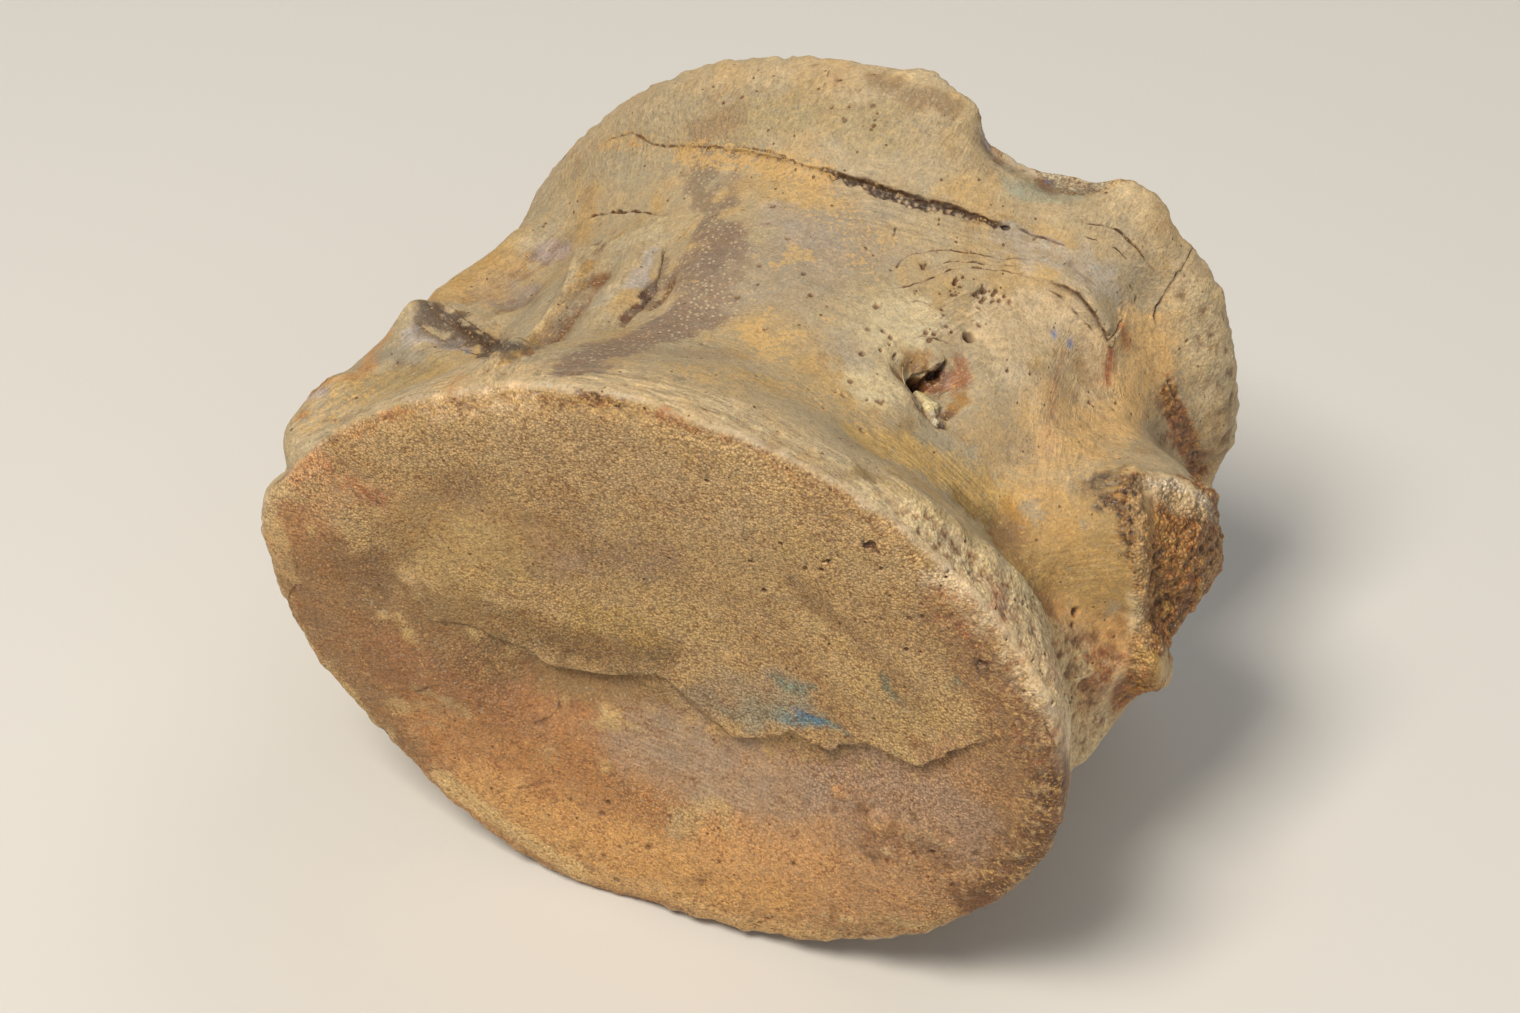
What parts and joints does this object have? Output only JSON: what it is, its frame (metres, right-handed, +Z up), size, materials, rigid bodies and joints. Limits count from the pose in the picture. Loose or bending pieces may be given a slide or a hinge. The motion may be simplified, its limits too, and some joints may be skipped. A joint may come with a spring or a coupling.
{
  "type": "fossil plesiosaur vertebra",
  "caption": "Fossil plesiosaur vertebra: a waisted spool of bone with dished oval end faces, broken rib and arch stubs, and vessel holes in its belly side.",
  "frame": {"origin": "middle of the bounding box's footprint, on the surface that the bone rests on", "axes": "+X across the bone, towards the right rib stub; +Y along the axis of the vertebral body, from the near end face to the far one; +Z up, towards the belly side, because the bone lies on its back"},
  "size_m": [0.1148, 0.0706, 0.0836],
  "materials": {
    "fossil_bone": "mineralised bone: matt, granular on the end faces, fibrous round the rims, crumbly at the breaks, tan to olive with rust and dark brown stains"
  },
  "bodies": {
    "root": {"vertebra": "fossil_bone"}
  },
  "joints": []
}
